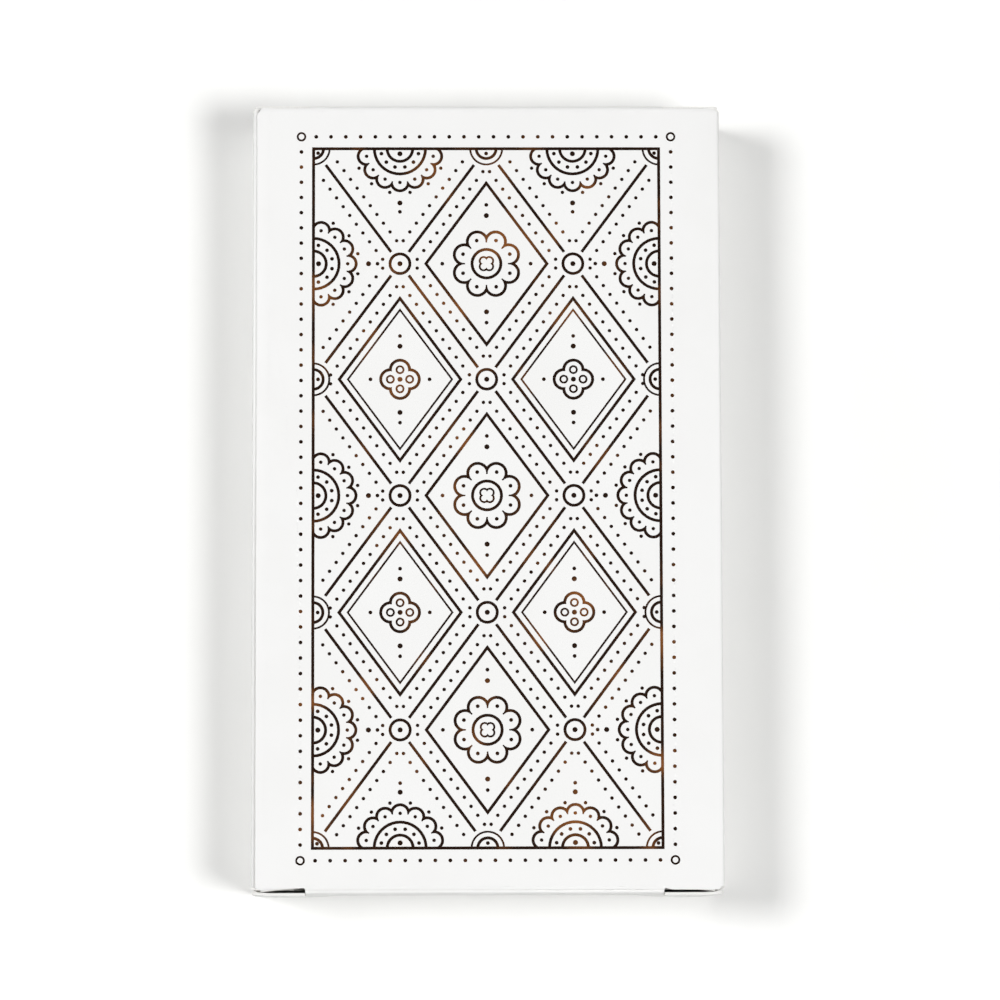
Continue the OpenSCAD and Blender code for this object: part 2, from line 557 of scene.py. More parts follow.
for row in range(1, BOW_ROWS):
    pick("FACE", lambda x, y, z: abs(x) > HALF_W - NEAR)
    cut((0, 0, HEIGHT * row / BOW_ROWS), (0, 0, 1))
for column in range(1, BOW_COLUMNS):
    cut_all((0, SIDE_END * (2 * column / BOW_COLUMNS - 1), 0), (0, 1, 0))
for side, bow in SIDE_BOW.items():
    pick("VERT", lambda x, y, z: x * side > HALF_W - NEAR and mid_side(x, y, z))
    bpy.ops.transform.translate(
        value=place(side * bow, 0, 0),
        use_proportional_edit=True,
        proportional_edit_falloff="SMOOTH",
        proportional_size=HEIGHT / 2 * MM,
        use_proportional_connected=True,
    )
tell_faces("sides bowed")

# %% Lift the raw edge at the seam
LIFT_WIDTH = 2.0
LIFTS = {SIDE_END: 0.02, 5.0: 0.1, -15.0: 0.1}

pick("FACE", on_front)
cut((front_left + LIFT_WIDTH, 0, 0), (1, 0, 0))
for start, lift in LIFTS.items():
    pick("VERT", lambda x, y, z: x < front_left + NEAR and y < start and on_front(x, y, z))
    move(0, 0, lift)
face_out((0, 0, 1), on_front)
sleeve_nodes = ("front_panel", "back_panel", "left_side_panel", "right_side_panel", "glue_flap")
thicken(sleeve, "carton", sleeve_nodes)

# %% [markdown]
# ## The lids and their tuck flaps
# A lid, the crease it turns on, its tuck flap and its corner tabs are one more stretch of the same sheet.
# The lid is a plane, its lower edge is spun into the crease and its upper edge into the tuck fold. The die
# slits the fold at both ends, so the corner tabs stay up when the flap is tucked in. On a lid that has been
# opened a few times the tabs lean out and leave a dark slit, and the flap's own raw edge shows behind it.
# The sheet is shaped whole and then parted at the fold, because the flap turns against the lid.

# %% Cut and crease a lid
FOLD_DROP = 0.1
SLIT_X = 27.65
FOLD_TOP = front_low.z - FOLD_DROP
FOLD_START = FOLD_TOP - ROLL


def cut_lid(name, tab_top):
    """The flat lid at the near end, with a corner tab on either side of where the fold starts."""
    middle = (0, -LID_FACE, (ROLL + lid_high.z) / 2)
    sheet = add_sheet(name, middle, (lid_high.x - lid_low.x, lid_high.z - ROLL), (math.pi / 2, 0, 0))
    for side in (-1, 1):
        cut_all((side * SLIT_X, 0, 0), (1, 0, 0))
    pick("FACE", lambda x, y, z: abs(x) < SLIT_X)
    cut((0, 0, FOLD_START), (0, 0, 1), drop=True)
    if tab_top < lid_high.z:
        pick("FACE", lambda x, y, z: abs(x) > SLIT_X)
        cut((0, 0, tab_top), (0, 0, 1), drop=True)
    return sheet


def crease_lid():
    """Spins the lid's lower edge into its crease, and its upper edge between the tabs into the fold."""
    pick("EDGE", lambda x, y, z: z < ROLL + NEAR)
    roll((0, -PANEL_END, ROLL), (1, 0, 0), 90)
    pick("EDGE", lambda x, y, z: abs(x) < NEAR and abs(z - FOLD_START) < NEAR)
    roll((0, -PANEL_END, FOLD_START), (1, 0, 0), -90)


# %% Add the tongue that tucks in
FLAP_CORNER = 8.0
FLAP_CORNER_STEPS = 8
FLAP_OVERHANG = 0.25
SHOULDER_BACK = 0.4
tuck_high = box_mm("near_tuck_flap")[1]


def add_tongue():
    """Extrudes the fold's edge into the tuck flap, widens it behind the slits and rounds its corners."""
    extrude(0, PANEL_END + tuck_high.y, tuck_high.z - FOLD_TOP)
    shoulder = -PANEL_END + SHOULDER_BACK
    pick("FACE", lambda x, y, z: y > -PANEL_END + NEAR)
    cut((0, shoulder, 0), (0, 1, 0))
    for side in (-1, 1):
        pick("EDGE", lambda x, y, z: abs(x - side * SLIT_X) < NEAR and y > shoulder + NEAR)
        extrude(side * (tuck_high.x - SLIT_X), 0, 0)
    pick("EDGE", lambda x, y, z: abs(abs(x) - SLIT_X) < NEAR and y > shoulder + NEAR)
    bpy.ops.mesh.dissolve_edges(use_verts=True)

    def on_side(x, y, z):
        return abs(x) > tuck_high.x - NEAR and z > HEIGHT / 2

    pick("VERT", lambda x, y, z: on_side(x, y, z) and y > tuck_high.y - NEAR)
    round_corners(FLAP_CORNER, FLAP_CORNER_STEPS)
    pick("VERT", lambda x, y, z: on_side(x, y, z) and abs(y - shoulder) < NEAR)
    move(0, -SHOULDER_BACK - FLAP_OVERHANG, 0)


# %% Slit the tabs and let the lid lean
SLIT_HOOK = 2.0
SLIT_GAP = 0.08
TAB_COLUMNS = (23.0, 30.5, 33.5)
SLIT_BOTTOM = FOLD_START - SLIT_HOOK
TAB_ROWS = (1.5, 2.5, 3.5, 4.5, 6.0, 10.0, SLIT_BOTTOM)
LEAN_FULL = 6.0
CORNER_HOLD = 0.45


def slit_tabs(tab_lean):
    """Cuts the lid into rows and columns that can bend, parts its tabs at the slits and moves them out."""
    for column in TAB_COLUMNS:
        for side in (-1, 1):
            cut_all((side * column, 0, 0), (1, 0, 0))
    for height in TAB_ROWS:
        pick("FACE", lambda x, y, z: y < -LID_FACE + NEAR)
        cut((0, 0, height), (0, 0, 1))

    def in_lid(x, y, z):
        return y < -LID_FACE + NEAR and z > SLIT_BOTTOM

    pick("EDGE", lambda x, y, z: abs(abs(x) - SLIT_X) < NEAR and in_lid(x, y, z) and z < FOLD_START)
    bpy.ops.mesh.edge_split(type="EDGE")
    pick("FACE", lambda x, y, z: abs(x) > SLIT_X and in_lid(x, y, z))
    move(0, -tab_lean, 0)

    def moved(x, y, z):
        return y < -LID_FACE - NEAR and z > SLIT_BOTTOM + NEAR

    for side in (-1, 1):
        pick("VERT", lambda x, y, z: abs(x * side - SLIT_X) < NEAR and moved(x, y, z))
        move(side * SLIT_GAP, 0, 0)
    pick("VERT", lambda x, y, z: abs(x) > lid_high.x - NEAR and z > SLIT_BOTTOM - NEAR)
    move(0, tab_lean * CORNER_HOLD, 0)


def lean_share(height):
    """How much of its lean a lid has at a height: it bends just above its crease, then stands straight."""
    share = min(1, (height - ROLL) / (LEAN_FULL - ROLL))
    return share * share * (3 - 2 * share)


def pick_row(height, least_x=0.0, below=HEIGHT):
    """Picks the lid's vertices at a height that are still in its plane."""

    def in_row(x, y, z):
        return abs(y + LID_FACE) < NEAR and abs(z - height) < NEAR

    pick("VERT", lambda x, y, z: in_row(x, y, z) and abs(x) >= least_x and z < below)


def lean_lid(tab_lean, fold_lean):
    """Lets the lid follow its tabs below the slits, less at its sides, and lets the fold lean out."""
    for height in (*TAB_ROWS, FOLD_START):
        share = lean_share(height)
        pick_row(height, lid_high.x - NEAR)
        move(0, -tab_lean * (1 - CORNER_HOLD) * share, 0)
        pick_row(height, SLIT_X - NEAR, SLIT_BOTTOM)
        move(0, -tab_lean * share, 0)
        pick_row(height)
        move(0, -fold_lean * share, 0)

    def in_fold(x, y, z):
        return z > FOLD_START + NEAR and -LID_FACE - NEAR < y < -PANEL_END + NEAR

    pick("VERT", lambda x, y, z: abs(x) < SLIT_X + NEAR and in_fold(x, y, z))
    move(0, -fold_lean, 0)


# %% The whole end, and its parting at the fold
TAB_CORNER = 0.8
TAB_CORNER_STEPS = 4


def fold_end(name, tab_top, tab_lean, fold_lean):
    """The sheet of a lid and its tuck flap, at the near end. Its tabs and its fold lean out a little."""
    sheet = cut_lid(name, tab_top)
    crease_lid()
    add_tongue()
    slit_tabs(tab_lean)
    lean_lid(tab_lean, fold_lean)
    pick("VERT", lambda x, y, z: abs(x) > lid_high.x - NEAR and z > tab_top - NEAR)
    round_corners(TAB_CORNER, TAB_CORNER_STEPS)
    face_out((0, -1, 0), lambda x, y, z: y < -LID_FACE + NEAR)
    return sheet


def part_flap(sheet, name):
    """Parts the tuck flap from its lid at the fold."""
    middle = HEIGHT / 2
    pick("FACE", lambda x, y, z: z > middle and (y > -PANEL_END or abs(x) < SLIT_X and z > FOLD_START))
    bpy.ops.mesh.separate(type="SELECTED")
    bpy.ops.object.mode_set(mode="OBJECT")
    flap = next(piece for piece in bpy.context.selected_objects if piece != sheet)
    flap.name = flap.data.name = name
    return flap


def finish_end(lid, flap, end, side):
    """Thickens a lid and its flap, which in the real carton bend at the lid's crease and at the tuck fold;
    the points of both bends are worked out here but not used.
    """
    crease = (place(0, side * PANEL_END, 0), place(0, side * LID_FACE, ROLL))
    fold = (place(0, side * LID_FACE, FOLD_START), place(0, side * PANEL_END, FOLD_TOP))
    thicken(lid, ("carton", f"{end}_lid", *crease), [f"{end}_lid"])
    thicken(flap, (f"{end}_lid", f"{end}_tuck_flap", *fold), [f"{end}_tuck_flap"])


# %% [markdown]
# The near lid has been opened, and its slits sit a little to the left of the middle. The far lid is still
# tight: its tabs stop at the fold, and it is modelled at the near end and then mirrored.

# %% Fold the two ends
SLIT_SHIFT = -0.45
NEAR_TABS = {"tab_top": lid_high.z, "tab_lean": 0.4, "fold_lean": 0.1}
FAR_TABS = {"tab_top": FOLD_START, "tab_lean": 0.0, "fold_lean": 0.0}

near_lid = fold_end("near_lid_sheet", **NEAR_TABS)
pick("VERT", lambda x, y, z: abs(abs(x) - SLIT_X) < SLIT_GAP + NEAR)
move(SLIT_SHIFT, 0, 0)
near_flap = part_flap(near_lid, "near_tuck_sheet")
pattern_lid = fold_end("far_lid_pattern", **FAR_TABS)
pattern_flap = part_flap(pattern_lid, "far_tuck_pattern")
far_lid = mirrored(pattern_lid, "far_lid_sheet", 1, -1)
far_flap = mirrored(pattern_flap, "far_tuck_sheet", 1, -1)
bpy.data.objects.remove(pattern_lid)
bpy.data.objects.remove(pattern_flap)
finish_end(near_lid, near_flap, "near", -1)
finish_end(far_lid, far_flap, "far", 1)

# %% [markdown]
# ## The dust flaps
# Four ears on the side panels fold in behind the lids and keep the cards from slipping out. Each tapers, so
# that it clears the lid's crease and the tuck flap, and only its root is as tall as the side. One is cut
# from a plane by two slanted planes, its free corners are rounded, and its root is spun into the crease. It
# is the pattern for all four, which are mirrored from it.

# %% Cut one dust flap
FOOT_RISE = 0.4
HEAD_FALL = 0.25
EAR_CORNER = 2.5
ROOT_WIDTH = 0.7
ROOT_DROP = 0.7
ROOT_CORNER = 0.5
dust_low, dust_high = box_mm("near_left_dust_flap")
ear_left = -HALF_W + ROLL
ear_middle = ((ear_left + dust_high.x) / 2, dust_low.y, HEIGHT / 2)
root_top = HEIGHT - ROOT_DROP

ear = add_sheet("dust_pattern", ear_middle, (dust_high.x - ear_left, HEIGHT), (math.pi / 2, 0, 0))
cut_all((ear_left, 0, dust_low.z), (FOOT_RISE, 0, -1), drop=True)
cut_all((0, 0, root_top), (0, 0, 1), drop=True)
cut_all((ear_left + ROOT_WIDTH, 0, 0), (1, 0, 0))
pick("FACE", lambda x, y, z: x > ear_left + ROOT_WIDTH)
cut((ear_left, 0, dust_high.z), (HEAD_FALL, 0, 1), drop=True)
pick("VERT", lambda x, y, z: z > root_top - NEAR and x > ear_left + NEAR)
round_corners(ROOT_CORNER)
pick("VERT", lambda x, y, z: x > dust_high.x - NEAR)
round_corners(EAR_CORNER)
pick("EDGE", lambda x, y, z: x < ear_left + NEAR)
roll((ear_left, -SIDE_END, 0), (0, 0, 1), -90)
face_out((0, -1, 0), lambda x, y, z: x > ear_left)
tell_faces("dust flap cut")
bpy.ops.object.mode_set(mode="OBJECT")

# %% Mirror it to the four corners
for end, along in (("near", 1), ("far", -1)):
    for side, across in (("left", 1), ("right", -1)):
        body = f"{end}_{side}_dust_flap"
        flap = mirrored(ear, f"{body}_sheet", across, along)
        root = place(-across * HALF_W, -along * SIDE_END)
        bend = place(-across * (HALF_W - ROLL), -along * PANEL_END)
        thicken(flap, ("carton", body, root, bend), [body])
bpy.data.objects.remove(ear)

# %% [markdown]
# ## The cards
# The cards are plain coated stock, so their solids stay as they are and only get a finish. One finish serves
# all of them: it reads the height to paint thin lines of shade between the edges, and the normal to tell a
# face from an edge. The faces carry a ruled copper lattice in a border, like the back of any card.

# %% Printed card stock
CARD_WHITE = (0.90, 0.885, 0.855, 1)
CARD_CREAM = (0.83, 0.80, 0.745, 1)
# the gap colour is painted shade: the dark between two cards' edges, which their flat solids don't cast
CARD_GAP_SHADE = (0.46, 0.43, 0.385, 1)
CARD_INK = (0.17, 0.075, 0.032, 1)
CREAM_SHARE = 0.8
STAIN_SHARE = 0.35
HALF_CARD = 0.44
BORDER = 4.0
BORDER_LINE = 0.35
LATTICE_START = 5.0
LATTICE_CELL = (11.0, 15.0)
LATTICE_LINE = 0.04
card_names = sorted(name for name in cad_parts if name.startswith("card_"))
card_low, card_high = box_mm(card_names[0])
card_pitch = box_mm(card_names[1])[0].z - card_low.z


def card_edge(z):
    """The stack seen from the side: each card a little different, with a dark line of painted shade between
    two.
    """
    level = (z - card_low.z) / card_pitch
    layer = level.math("FRACT", level)
    number = {"W": level.math("FLOOR", level)}
    tone = level.node("ShaderNodeTexWhiteNoise", {"noise_dimensions": "1D"}, number)
    edge = mix(tone * CREAM_SHARE, CARD_WHITE, CARD_CREAM)
    # painted shade: the top and bottom of each card's layer darken to the gap colour
    return mix(abs(layer - 0.5) > HALF_CARD, edge, CARD_GAP_SHADE)


def card_print(x, y):
    """1 where a card's face is printed: a border, and slanted rules that cross inside it."""
    half_x, half_y = (card_high.x - card_low.x) / 2, (card_high.y - card_low.y) / 2
    inset = x.math("MINIMUM", half_x - abs(x), half_y - abs(y))
    slant_up = x / LATTICE_CELL[0] + y / LATTICE_CELL[1]
    slant_down = x / LATTICE_CELL[0] - y / LATTICE_CELL[1]
    rules = abs(x.math("FRACT", slant_up) - 0.5) > 0.5 - LATTICE_LINE
    crossed = abs(x.math("FRACT", slant_down) - 0.5) > 0.5 - LATTICE_LINE
    lattice = x.math("MAXIMUM", rules, crossed) * (inset > LATTICE_START)
    return x.math("MAXIMUM", lattice, abs(inset - BORDER) < BORDER_LINE)


def make_card_stock():
    material, start, shader = start_finish("card_stock_print", Roughness=0.4, Specular_IOR_Level=0.4)
    spot = object_spot(start)
    x, y, z = [along_axis(spot, axis) / MM for axis in "XYZ"]
    normal = start.node("ShaderNodeNewGeometry", output="Normal")
    face = abs(along_axis(normal, "Z")) > 0.5
    stained = mix(ease(noise(spot, grain=9.0), 0.35, 0.65), CARD_WHITE, CARD_CREAM)
    paper = mix(face * STAIN_SHARE, CARD_WHITE, stained)
    feed(mix(face, card_edge(z), mix(card_print(x, y), paper, CARD_INK)), shader, "Base Color")
    return material


card_stock = make_card_stock()
for name in card_names:
    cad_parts[name].material_slots[0].material = card_stock
print(f"{len(card_names)} cards, one every {card_pitch:.2f} mm")

# %% [markdown]
# ## The copper foil ornament
# Hot foil is a film a few hundredths of a millimetre thick, pressed on by a heated die. A drawn texture
# would blur close up, so the ornament is modelled: thin flat shapes that stand a hair proud of the board. It
# is a lattice of lozenges in a beaded frame. Each motif is made once, flat on the ground, from circles, cuts
# and spins. Copies are then set out on the lattice, joined, and lifted onto the front panel.

# %% Sizes of the ornament
LINE = 0.46
THIN = 0.3
BEAD = 0.28
DOT = 0.3
BIG_DOT = 0.4
BEAD_FRAME = (28.9, 56.5)
LINE_FRAME = (27.0, 54.6)
COLUMNS = 2
ROWS = 3
CELL_X = LINE_FRAME[0] / COLUMNS
CELL_Y = LINE_FRAME[1] / ROWS
CELL_SIDE = math.hypot(CELL_X, CELL_Y)
print(f"lattice cells {2 * CELL_X:.1f} x {2 * CELL_Y:.1f} mm")

# %% Helpers that draw flat shapes
DOT_SIDES = 12
SMALL_RING_SIDES = 16
RING_SIDES = 40


def add_outline(name, sides, size, at=(0, 0)):
    """A filled outline: round if it has many sides, a lozenge if it has four."""
    deselect()
    bpy.ops.mesh.primitive_circle_add(vertices=sides, radius=1, fill_type="NGON", location=place(*at))
    return open_piece(name, (0, 0, 0), size)


def hollow(width):
    """Turns the open filled outline into a line of this width."""
    bpy.ops.mesh.select_all(action="SELECT")
    bpy.ops.mesh.inset(thickness=width * MM)
    bpy.ops.mesh.delete(type="FACE")


def add_dot(radius, at=(0, 0)):
    return add_outline("dot", DOT_SIDES, (radius, radius), at)


def add_ring(radius, width, at=(0, 0)):
    outer = radius + width / 2
    ring = add_outline("ring", SMALL_RING_SIDES if radius < 1 else RING_SIDES, (outer, outer), at)
    hollow(width)
    return ring


def add_lozenge(scale, width):
    """A lozenge line, a scaled copy of a lattice cell."""
    half_x, half_y = CELL_X * scale, CELL_Y * scale
    grow = width / 2 * CELL_SIDE
    lozenge = add_outline("lozenge", 4, (half_x + grow / CELL_Y, half_y + grow / CELL_X))
    hollow(width)
    return lozenge


# %% Helpers that repeat and join flat shapes
stamped = []


def repeat_round(count, step):
    """Repeats the open piece round the middle."""
    bpy.ops.mesh.select_all(action="SELECT")
    turn = -step * (count - 1)
    bpy.ops.mesh.spin(steps=count - 1, dupli=True, angle=turn, center=(0, 0, 0), axis=(0, 0, 1))


def repeat_row(piece, count, step):
    """Repeats a piece along a row, a step apart in millimetres."""
    only(piece)
    row = piece.modifiers.new("row", "ARRAY")
    row.count = count
    row.use_relative_offset = False
    row.use_constant_offset = True
    row.constant_offset_displace = place(*step)
    bpy.ops.object.modifier_apply(modifier=row.name)


def add_dots_round(radius, distance, count, step, start):
    dots = add_dot(radius, (distance * math.cos(start), distance * math.sin(start)))
    repeat_round(count, step)
    return dots


def add_dot_pair(radius, distance, start):
    """Two dots, one on either side of the middle."""
    return add_dots_round(radius, distance, 2, math.pi, start)


def add_foil_leaf(sides, lobe, out, width, count):
    """Round lobes that meet at sharp cusps: one lobe is trimmed to its share of the circle and repeated."""
    half = math.pi / sides
    leaf = add_ring(lobe, width, (out, 0))
    for way in (-1, 1):
        cut_all((0, 0), (-math.sin(half), way * math.cos(half), 0), drop=True)
    pick("FACE", lambda x, y, z: math.hypot(x, y) < out * math.cos(half))
    bpy.ops.mesh.delete(type="FACE")
    repeat_round(count, 2 * half)
    return leaf


def turned(piece, angle):
    only(piece)
    piece.rotation_euler.z = angle
    bpy.ops.object.transform_apply(rotation=True)
    return piece


def gather(name, pieces):
    """Joins flat shapes into one motif."""
    only(pieces[0])
    for piece in pieces:
        piece.select_set(True)
    if len(pieces) > 1:
        bpy.ops.object.join()
    pieces[0].name = pieces[0].data.name = name
    return pieces[0]


def stamp(motif, x, y, turn=0.0):
    """Sets a copy of a motif out on the ornament."""
    copy = copy_piece(motif, motif.name + "_copy")
    copy.location = place(x, y)
    copy.rotation_euler.z = turn
    bpy.ops.object.transform_apply(location=True, rotation=True)
    stamped.append(copy)


# %% [markdown]
# A whole cell holds a rosette or a knot, inside a lozenge and a row of beads that runs along the lattice.
# The beads of one side are made with Array, and Mirror makes the other three sides.

# %% Motifs of the whole cells
BEADS_A_SIDE = 11
BEAD_INSET = 1.75
LEVEL = 0.0
UPRIGHT = math.pi / 2
octave = math.pi / 4
bead_scale = 1 - BEAD_INSET * CELL_SIDE / (CELL_X * CELL_Y)


def add_bead_cell():
    """Beads on the four sides of a cell."""
    step = Vector((-CELL_X, CELL_Y, 0)) * bead_scale / BEADS_A_SIDE
    start = Vector((CELL_X * bead_scale, 0, 0)) + step / 2
    beads = add_dot(BEAD, start.xy)
    repeat_row(beads, BEADS_A_SIDE, step)
    sides = beads.modifiers.new("sides", "MIRROR")
    sides.use_axis = (True, True, False)
    sides.use_mirror_merge = False
    bpy.ops.object.modifier_apply(modifier=sides.name)
    return beads


rosette = gather("rosette", [
    add_bead_cell(),
    add_lozenge(0.70, LINE),
    turned(add_foil_leaf(sides=8, lobe=1.55, out=3.75, width=LINE, count=8), octave / 2),
    add_ring(2.25, LINE),
    add_dots_round(DOT, distance=3.95, count=8, step=octave, start=octave / 2),
    turned(add_foil_leaf(sides=4, lobe=0.62, out=0.62, width=THIN, count=4), octave),
    add_dot_pair(BIG_DOT, 7.6, UPRIGHT),
    add_dot_pair(DOT, 9.3, UPRIGHT),
    add_dot_pair(DOT, 6.9, LEVEL),
])
knot = gather("knot", [
    add_bead_cell(),
    add_lozenge(0.70, LINE),
    add_lozenge(0.60, THIN),
    add_foil_leaf(sides=4, lobe=1.5, out=1.5, width=LINE, count=4),
    *[add_ring(0.55, THIN, at) for at in ((1.5, 0), (-1.5, 0), (0, 1.5), (0, -1.5))],
    add_dot(BIG_DOT),
    add_dot_pair(BIG_DOT, 5.2, UPRIGHT),
    add_dot_pair(DOT, 6.8, UPRIGHT),
    add_dot_pair(DOT, 4.6, LEVEL),
])
print("whole cells:", len(rosette.data.polygons), "and", len(knot.data.polygons), "faces")

# %% [markdown]
# The cells that the frame cuts in half hold a scalloped fan. Only the beads differ between the frame's long
# and short sides, because a cell is taller than it is wide. Beads that would touch the frame's line are
# taken out.

# %% Motifs of the cut cells
BEAD_CLEAR = 0.7
DOWN = (0, -1, 0)
LEFT = (-1, 0, 0)
seventh = math.pi / 7


def trimmed(piece, normal):
    """Cuts a flat shape along the inner edge of the frame's line, and drops what the normal points to."""
    reopen(piece)
    cut_all([-part * LINE / 2 for part in normal], normal, drop=True)
    return piece


def add_fan():
    """The parts of a fan that opens upwards from the frame's line."""
    scallops = add_foil_leaf(sides=14, lobe=1.32, out=5.35, width=LINE, count=7)
    return [
        trimmed(turned(scallops, seventh / 2), DOWN),
        trimmed(add_ring(2.0, LINE), DOWN),
        trimmed(add_ring(4.0, LINE), DOWN),
        add_dot(BIG_DOT, (0, 0.8)),
        add_dots_round(DOT, distance=3.0, count=6, step=math.pi / 6, start=math.pi / 12),
        add_dots_round(BEAD, distance=5.35, count=7, step=seventh, start=seventh / 2),
        add_dots_round(BEAD, distance=7.1, count=6, step=seventh, start=seventh),
        add_dot(BIG_DOT, (0, 8.6)),
        add_dot(DOT, (0, 10.0)),
    ]


def add_half_beads(up):
    """The upper or the right half of a cell's beads."""
    beads = add_bead_cell()
    reopen(beads)
    pick("FACE", lambda x, y, z: (y if up else x) < BEAD_CLEAR)
    bpy.ops.mesh.delete(type="FACE")
    return beads


end_fan = gather("end_fan", [*add_fan(), add_half_beads(True)])
side_fan = gather("side_fan", [turned(gather("upright_fan", add_fan()), -UPRIGHT), add_half_beads(False)])
print("fans:", len(end_fan.data.polygons), "and", len(side_fan.data.polygons), "faces")

# %% Motifs of the crossings, and bars between them
CROSSING = 1.55
CROSSING_RIM = 2.5
BAR_STOP = 2.3
FRAME_STOP = 3.2

crossing = gather("crossing", [add_ring(CROSSING, LINE), add_dot(BIG_DOT)])
half_crossing = gather("half_crossing", [
    trimmed(add_ring(CROSSING, LINE), DOWN),
    trimmed(add_ring(CROSSING_RIM, THIN), DOWN),
    add_dot(DOT, (0, 0.75)),
])
quarter_crossing = gather("quarter_crossing", [
    trimmed(trimmed(add_ring(CROSSING, LINE), DOWN), LEFT),
    trimmed(trimmed(add_ring(CROSSING_RIM, THIN), DOWN), LEFT),
    add_dot(DOT, (0.7, 0.7)),
])
inner_bar = gather("inner_bar", [add_sheet("bar", (0, 0, 0), (CELL_SIDE - 2 * BAR_STOP, LINE))])
outer_bar = gather("outer_bar", [add_sheet("bar", (0, 0, 0), (CELL_SIDE - BAR_STOP - FRAME_STOP, LINE))])
print(f"bars {inner_bar.dimensions.x / MM:.1f} and {outer_bar.dimensions.x / MM:.1f} mm long")

# %% The line frame and the beads round it
ACROSS = 25
ALONG = 47


def add_bead_row(count, step):
    """A row of beads about the middle."""
    beads = add_dot(DOT, [-(count - 1) / 2 * part for part in step])
    repeat_row(beads, count, step)
    return beads


end_row = gather("end_row", [add_bead_row(ACROSS - 1, (2 * BEAD_FRAME[0] / ACROSS, 0))])
side_row = gather("side_row", [add_bead_row(ALONG - 1, (0, 2 * BEAD_FRAME[1] / ALONG))])
corner_ring = gather("corner_ring", [add_ring(0.6, THIN)])
line_frame = add_sheet("line_frame", (0, 0, 0), [2 * half + LINE for half in LINE_FRAME])
hollow(LINE)
stamped.append(line_frame)
print("frame beads:", 2 * (ACROSS + ALONG - 2))

# %% [markdown]
# The lattice is counted from the middle. Where column and row add up to an odd number two bars cross, and
# the other places are cells. What lies on the frame is a half or a quarter, and is turned to open inwards.

# %% Set the motifs out on the lattice
INWARD = {(-1, 0): -UPRIGHT, (1, 0): UPRIGHT, (0, -1): LEVEL, (0, 1): math.pi}
CORNER_INWARD = {(-1, -1): LEVEL, (1, -1): UPRIGHT, (1, 1): math.pi, (-1, 1): 3 * UPRIGHT}
lattice = [(i, j) for i in range(-COLUMNS, COLUMNS + 1) for j in range(-ROWS, ROWS + 1)]


def frame_side(i, j):
    """Which sides of the frame a place of the lattice lies on: -1, 0 or 1 across and along."""
    return int(i / COLUMNS), int(j / ROWS)


for i, j in lattice:
    x, y = i * CELL_X, j * CELL_Y
    edge_x, edge_y = frame_side(i, j)
    if (i + j) % 2:
        if edge_x and edge_y:
            stamp(quarter_crossing, x, y, CORNER_INWARD[edge_x, edge_y])
        elif edge_x or edge_y:
            stamp(half_crossing, x, y, INWARD[edge_x, edge_y])
        else:
            stamp(crossing, x, y)
    elif edge_x:
        stamp(side_fan, x, y, LEVEL if edge_x < 0 else math.pi)
    elif edge_y:
        stamp(end_fan, x, y, INWARD[edge_x, edge_y])
    else:
        stamp(knot if i else rosette, x, y)
print(len(stamped), "motifs set out")

# %% Set out the bars and the frame's beads
for i, j in lattice:
    for rise in (-1, 1):
        neighbour = (i + 1, j + rise)
        if (i + j) % 2 and neighbour in lattice:
            ends = [any(frame_side(*spot)) for spot in ((i, j), neighbour)]
            shift = (FRAME_STOP - BAR_STOP) / 2 * (ends[0] - ends[1]) / CELL_SIDE
            x = (i + 0.5 + shift) * CELL_X
            y = (j + (0.5 + shift) * rise) * CELL_Y
            stamp(outer_bar if any(ends) else inner_bar, x, y, rise * math.atan2(CELL_Y, CELL_X))

for side in (-1, 1):
    stamp(end_row, 0, side * BEAD_FRAME[1])
    stamp(side_row, side * BEAD_FRAME[0], 0)
    for end in (-1, 1):
        stamp(corner_ring, side * BEAD_FRAME[0], end * BEAD_FRAME[1])
print(len(stamped), "motifs, bars and rows set out")

# %% [markdown]
# Foil is a metal film, so its finish is metallic, and its colour is painted reflection: nearly black for the
# dark of a room mirrored in it, and random patches of copper painted as glints of light. A fine grain breaks
# its gloss.

# %% The foil's finish
# painted reflection: a near-black base colour for the dark that the foil mirrors, and copper for its glints
FOIL_DARK_REFLECTION = (0.007, 0.0028, 0.0014, 1)
FOIL_COPPER_GLINT = (0.23, 0.080, 0.019, 1)
GLINT_SHARE = 0.6
GRAIN_SHARE = 0.03


def make_copper_foil():
    material, start, shader = start_finish("copper_foil_film", Metallic=0.85, Specular_IOR_Level=0.2)
    spot = object_spot(start)
    # random patches where the copper is painted as a glint of light
    glint_patch = ease(noise(spot, grain=9.0, detail=2.0), 0.5, 0.76)
    grain = noise(spot, grain=0.4)
    feed(mix(glint_patch * GLINT_SHARE + grain * GRAIN_SHARE, FOIL_DARK_REFLECTION, FOIL_COPPER_GLINT), shader, "Base Color")
    feed(between(grain, 0.3, 0.5), shader, "Roughness")
    return material


# %% Join the ornament and press it on
FOIL_PROUD = 0.025
FOIL_SUNK = 0.005

cell_motifs = (rosette, knot, end_fan, side_fan, crossing, half_crossing, quarter_crossing)
for motif in (*cell_motifs, inner_bar, outer_bar, end_row, side_row, corner_ring):
    bpy.data.objects.remove(motif)
foil = gather("copper_foil_ornament", stamped)
foil.data.materials.append(make_copper_foil())
reopen(foil)
bpy.ops.mesh.select_all(action="SELECT")
bpy.ops.mesh.remove_doubles(threshold=0.002 * MM)
drawn = bmesh.from_edit_mesh(foil.data)
for shape in drawn.faces:
    shape.select_set(shape.normal.z < 0)
bmesh.update_edit_mesh(foil.data)
bpy.ops.mesh.flip_normals()
bpy.ops.mesh.select_all(action="SELECT")
move(0, 0, HEIGHT - FOIL_SUNK)
bpy.ops.object.mode_set(mode="OBJECT")
film = foil.modifiers.new("film", "SOLIDIFY")
film.thickness = (FOIL_PROUD + FOIL_SUNK) * MM
film.offset = 1
bpy.ops.object.modifier_apply(modifier=film.name)
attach(foil, "carton")
describe(foil)

